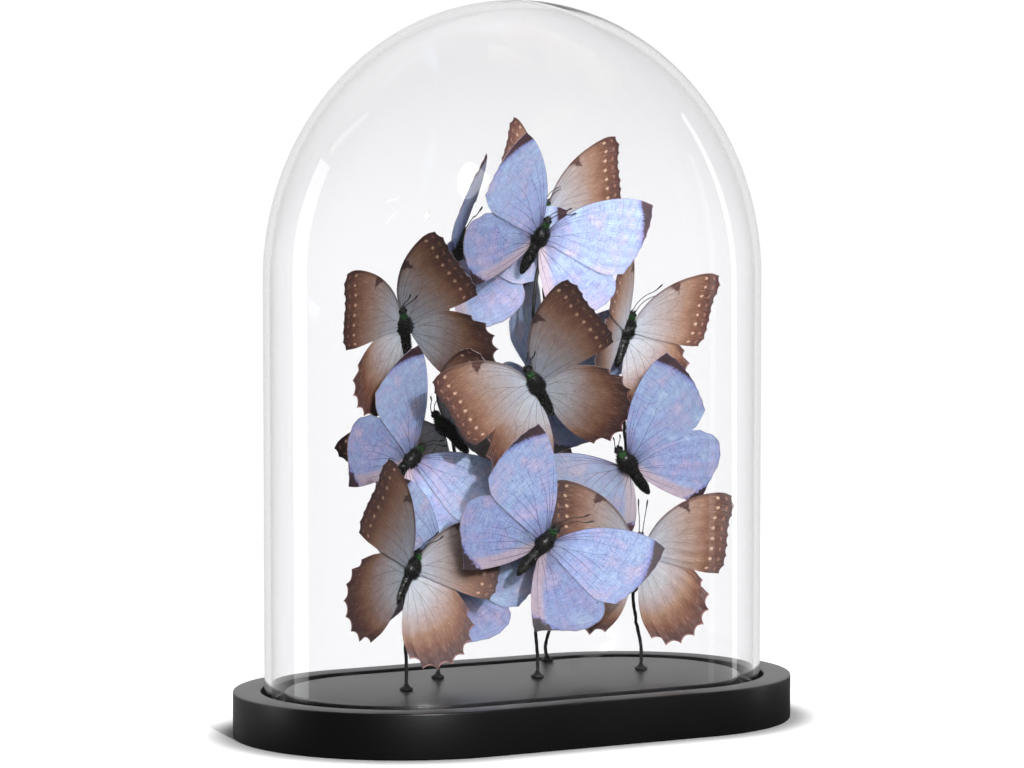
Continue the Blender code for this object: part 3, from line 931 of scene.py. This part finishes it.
def makeButterfly(node, pose, wingFinishes, bodyFinishes, seed):
    place = placing(pose)
    kind = node.split("_")[1]
    wings = meshPile()
    for index, side in enumerate((1, -1)):
        for hind, sweep in enumerate((pose["sweep"], pose["hindSweep"])):
            bend = pose.get("bend", wing["bend"])[index]
            addWing(wings, kind, hind, (side, pose["lift"][index], sweep[index], bend),
                    pose["tone"][index * 2 + hind], seed * 4 + index * 2 + hind)
    piece = wings.build(node + "_wings", wingFinishes[kind], place)
    piece.data.set_sharp_from_angle(angle=math.radians(wing["sharp"]))
    dress(piece, kind + "_butterfly", node)
    trunk = meshPile()
    addBall(trunk, *body["thorax"], 0)
    addBall(trunk, *body["head"], 0)
    for side in (1, -1):
        (x, y, z), radii = body["eye"]
        addBall(trunk, (side * x, y, z), radii, 4, 12, 9)
        (x, y, z), radii = body["palp"]
        addBall(trunk, (side * x, y, z), radii, 0, 10, 8)
        addFur(trunk, (side * x, y, z), radii, *body["palpCoat"])
    addAbdomen(trunk)
    addFeelers(trunk, *pose["feelers"])
    for part, *coat in body["coats"]:
        addFur(trunk, *body[part], *coat)
    piece = trunk.build(node + "_body", bodyFinishes, place)
    dress(piece, kind + "_butterfly", node)


wire = {
    "radius": 1.05, "sides": 10, "step": 2.6, "wobble": 0.16, "thickness": (0.9, 1.1),
    "glued": (0, 0.5, -3.6), "lead": 5,  # on a butterfly's underside, and the last straight bit
    "glue": 1.9,
    "footRadius": 4.1, "footHeight": 2.6, "footSides": 28,
    "footProfile": ((0.2, 0.05), (0.86, 0.05), (1.0, 0.32), (0.92, 0.62), (0.62, 0.86),
                    (0.42, 1.15), (0.28, 1.6), (0.1, 1.7)),  # parts of the radius and height
    "finish": dict(light=(26, 25, 24), dark=(9, 9, 8), scale=700, roughness=0.5, lumps=0.6,
                   shine=0.35),
}
stems = {
    "stem_front_left": dict(
        holds="butterfly_brown_low_left",
        route=((-79, -5, 42), (-79, -4, 58), (-79, -4, 75)),
        sides=()),
    "stem_left": dict(
        holds="butterfly_brown_left",
        route=((-37, 31, 42), (-40, 34, 66), (-45, 38, 96), (-49, 42, 129), (-53, 46, 161),
               (-57, 47, 189), (-60, 45, 212), (-62, 40, 231)),
        sides=(
            (((-44, 37, 92), (-44, 32, 96)), "butterfly_blue_low_left"),
            (((-52, 45.5, 151), (-52, 44.5, 156)), "butterfly_blue_left"),
            (((-37.5, 32, 48), (-33, 35, 69), (-24, 39, 98), (-16, 45, 129), (-13, 52, 160),
              (-14, 58, 193), (-15, 59, 224), (-15, 57, 251), (-14, 55, 271)),
             "butterfly_blue_upper_left"),
            (((-13, 56, 175), (-17, 54, 178)), "butterfly_brown_left_back"),
        )),
    "stem_middle": dict(
        holds="butterfly_blue_top",
        route=((17, 5, 42), (15, 6, 67), (14, 7, 98), (12, 6, 132), (11, 4, 165),
               (10, 0, 201), (9, -3, 235), (9, -5, 265), (13, -4, 283)),
        sides=(
            (((13, 6, 107), (12, -8, 115), (8, -19, 117)), "butterfly_blue_front"),
            (((10, 0, 203), (9, -2, 207)), "butterfly_brown_middle"),
        )),
    "stem_back": dict(
        holds="butterfly_brown_top",
        route=((60, 66, 42), (69, 61, 69), (68, 61, 103), (63, 63, 139), (59, 65, 175),
               (57, 66, 209), (57, 65, 241), (56, 63, 266), (55, 61, 287)),
        sides=(
            (((67.5, 61, 108), (60, 64, 112), (54, 66, 115)), "butterfly_brown_low_back"),
            (((57.5, 66, 199), (52, 62, 202), (47, 57, 204)), "butterfly_blue_middle_back"),
        )),
    "stem_right": dict(
        holds="butterfly_brown_right",
        route=((91, 4, 42), (88, 7, 65), (88, 9, 93), (88, 12, 125), (88, 16, 157),
               (88, 19, 186), (92, 17, 210), (91, 15, 226)),
        sides=(
            (((88, 9, 95), (86, 4, 99), (84, -2, 101)), "butterfly_brown_low_right"),
            (((88, 15, 151), (79, 3, 155), (72, -8, 157)), "butterfly_blue_right"),
        )),
}


def gluedPoint(node):
    # the middle of a butterfly's underside, and the way out from it, in mm
    place = placing(butterflyPlaces[node])
    under = place @ Vector(wire["glued"])
    out = (place.to_3x3() @ Vector((0, 0, -1))).normalized()
    return np.array(under) / mm, np.array(out)


def addWire(pile, route, node):
    end, out = gluedPoint(node)
    points = [*route, tuple(end + out * wire["lead"]), tuple(end)]
    length = sum(math.dist(a, b) for a, b in zip(points, points[1:]))
    count = max(6, round(length / wire["step"]))
    wobble = chance.normal(scale=wire["wobble"], size=(count, 3))
    wobble[:2] = 0
    wobble[-2:] = 0
    radii = wire["radius"] * chance.uniform(*wire["thickness"], size=count)
    pile.addLoops(tube(evenCurve(points, count) + wobble, radii, wire["sides"]), 0)
    glue = wire["glue"]
    addBall(pile, end + out * 0.8, (glue, glue, glue * 0.9), 0, 14, 9)


def makeStem(node, design, finish):
    pile = meshPile()
    x, y = design["route"][0][:2]
    ground = base["height"]
    turns = circle(wire["footSides"])
    lump = 1 + 0.07 * np.sin(turns * 3 + x) + 0.04 * np.sin(turns * 5 + 1)
    loops = []
    for part, level in wire["footProfile"]:
        radius = wire["footRadius"] * part * lump
        loops.append(np.column_stack([x + radius * np.cos(turns), y + radius * np.sin(turns),
                                      np.full(len(turns), ground + wire["footHeight"] * level)]))
    pile.addLoops(loops, 0)
    addWire(pile, ((x, y, ground + 1), *design["route"]), design["holds"])
    for route, holds in design["sides"]:
        addWire(pile, route, holds)
    dress(pile.build(node + "_wire", [finish]), "stem_wire", node)


lights = {
    "key": dict(right=16, up=15, away=2.6, size=0.06, watts=57, shows=True),
    "top": dict(right=-15, up=60, away=1.8, size=1.3, watts=3.0, shows=False),
    "middle": (0, 0, 0.22),
    "strips": {  # tall lamps that only show in the glass: (right, height) of both ends
        "left": dict(low=(-87, -0.6), high=(-91, 1.2), wide=0.42, glow=2.4),
        "leftStreak": dict(low=(-92, 1.32), high=(-79, 2.2), wide=0.14, glow=1.2),
        "right": dict(low=(106.5, -0.6), high=(95, 1.25), wide=0.16, glow=3.0),
        "rightSoft": dict(low=(77, -0.4), high=(78, 0.95), wide=0.16, glow=0.7),
        "glint": dict(low=(-19, 0.955), high=(-9.5, 0.97), wide=0.02, glow=3),
        "lowGlint": dict(low=(-17.5, 0.735), high=(-10, 0.84), wide=0.025, glow=2),
        "spot": dict(low=(39, 0.93), high=(58, 0.81), wide=0.26, glow=4),
    },
    "stripsAway": 1.5, "stripsFace": (0, 0, 0.25),
}
# how bright the backdrop is: as light in front and behind, after a matt surface, to the eye,
# and through the glass, low and high up
backdrop = {
    "front": 0.06, "back": 0.87, "turns": (-0.3, 0.7),
    "fill": 0.22, "seen": 1.05,
    "through": 1.21, "throughHigh": 0.88, "high": (-0.03, 0.045),
}
# greys of the floor: as light in front and behind, and to the eye, with its own glow there
pale = {
    "size": 24, "roughness": 0.8,
    "front": 0.10, "back": 0.55, "between": (-0.1, 0.2), "seen": 0.92,
    "glow": 0.9, "shadow": (0.103, 0.130),  # from the base's middle line: where the glow fades out, a painted contact shadow
}


def viewDirection(right, up):
    # a direction from the object, in degrees to the right of the camera and above it
    around = math.radians(-90 + cameraView["azimuth"] + right)
    rise = math.radians(cameraView["pitch"] + up)
    return Vector((math.cos(around) * math.cos(rise), math.sin(around) * math.cos(rise),
                   math.sin(rise)))


def addLamp(name, shape, size, watts):
    data = bpy.data.lights.new(name, "AREA")
    data.shape = shape
    data.size = size
    data.energy = watts
    lamp = bpy.data.objects.new(name, data)
    bpy.context.scene.collection.objects.link(lamp)
    return lamp


def addStrip(name, low, high, wide, glow):
    ends = []
    for right, height in (low, high):
        end = viewDirection(right, -cameraView["pitch"]) * lights["stripsAway"]
        end.z = height
        ends.append(end)
    place = (ends[0] + ends[1]) / 2
    along = ends[1] - ends[0]
    length = along.length
    along.normalize()
    inward = Vector(lights["stripsFace"]) - place
    inward = (inward - along * inward.dot(along)).normalized()
    shape = "ELLIPSE" if length < 3 * wide else "RECTANGLE"
    lamp = addLamp(name, shape, wide, glow * math.pi * wide * length)
    lamp.data.size_y = length
    lamp.matrix_world = Matrix((along.cross(-inward), along, -inward)).transposed().to_4x4()
    lamp.location = place
    lamp.visible_diffuse = False
    lamp.visible_transmission = False


def lightScene():
    middle = Vector(lights["middle"])
    for name in ("key", "top"):
        light = lights[name]
        lamp = addLamp(name, "DISK", light["size"], light["watts"])
        way = viewDirection(light["right"], light["up"]) * light["away"]
        lamp.location = middle + way
        lamp.rotation_euler = (-way).to_track_quat("-Z", "Y").to_euler()
        lamp.visible_glossy = light["shows"]
        lamp.visible_transmission = light["shows"]
    for name, strip in lights["strips"].items():
        addStrip(name, **strip)


def rayKinds(bench):
    # 1 for what the camera sees directly, straight through the glass and in the glass, and
    # for what met no matt surface on its way
    rays = bench.rays()
    noMatt = bench.calc("LESS_THAN", rays["Diffuse Depth"], 0.5)
    noGloss = bench.calc("LESS_THAN", rays["Glossy Depth"], 0.5)
    fewWalls = bench.calc("LESS_THAN", rays["Transmission Depth"], 3.5)
    through = bench.times(bench.times(rays["Is Transmission Ray"], noMatt), noGloss)
    sharp = bench.times(bench.times(rays["Is Singular Ray"], noMatt),
                        bench.calc("MAXIMUM", noGloss, fewWalls))
    return {"camera": rays["Is Camera Ray"], "through": through, "sharp": sharp,
            "noMatt": noMatt}


def makeWorld():
    # white to the eye, but darker in front of the object than behind it for its light
    world = bpy.data.worlds.new("studio")
    bpy.context.scene.world = world
    bench = nodeBench(world)
    rays = rayKinds(bench)
    place = bench.place("Generated")
    away = -viewDirection(0, -cameraView["pitch"])
    ahead = bench.node("VectorMath", {0: place, 1: away}, operation="DOT_PRODUCT")
    strength = bench.fade(ahead.outputs["Value"], *backdrop["turns"], backdrop["front"],
                          backdrop["back"])
    strength = bench.pick(rays["noMatt"], bench.times(strength, backdrop["fill"]), strength)
    height = bench.fade(bench.split(place)[2], *backdrop["high"], 1, backdrop["throughHigh"])
    through = bench.times(backdrop["through"], height)
    strength = bench.pick(rays["through"], strength, through)
    strength = bench.pick(rays["camera"], strength, backdrop["seen"])
    bench.feed(bench.nodes["Background"].inputs["Strength"], strength)
    bench.feed(bench.nodes["Background"].inputs["Color"], (1, 1, 1, 1))


def grey(level):
    return (level, level, level, 1)


def makeFloor():
    bpy.ops.mesh.primitive_plane_add(size=pale["size"])
    floor = bpy.context.object
    floor.name = "floor"
    bench = nodeBench("paleFloor", Roughness=pale["roughness"], Specular_IOR_Level=0,
                      Emission_Color=grey(1))
    rays = rayKinds(bench)
    place = bench.split(bench.place())
    behind = bench.times(rays["noMatt"], bench.fade(place[1], *pale["between"]))
    colour = bench.mix(behind, grey(pale["front"]), grey(pale["back"]))
    bench.finish(Base_Color=bench.mix(rays["camera"], colour, grey(pale["seen"])))
    # to the eye it glows white; close to the base the glow fades out, a painted contact shadow over
    # the lit floor's own shade
    past = bench.minus(bench.calc("ABSOLUTE", place[0]), halfStraight * mm)
    fromBase = bench.distance(bench.calc("MAXIMUM", 0, past), place[1])
    glow = bench.times(pale["glow"], bench.fade(fromBase, *pale["shadow"]))
    bench.finish(Emission_Strength=bench.times(rays["camera"], glow))
    # in the glass, the white of the backdrop runs on below the floor's far edge
    bench.letThrough(rays["sharp"], (255, 255, 255))
    floor.data.materials.append(bench.owner)


placeCamera()
lightScene()
makeWorld()
makeFloor()
print("camera, light and floor placed")

makeBase()
makeDome()
print("base and dome made")

wingFinishes = makeWingFinishes()
bodyFinishes = [plainFinish(name, **look) for name, look in body["finishes"].items()]
for number, (node, pose) in enumerate(butterflyPlaces.items()):
    makeButterfly(node, pose, wingFinishes, bodyFinishes, number)
print(len(butterflyPlaces), "butterflies made")

wireFinish = plainFinish("blackWire", **wire["finish"])
for node, design in stems.items():
    makeStem(node, design, wireFinish)
print(len(stems), "stems made")
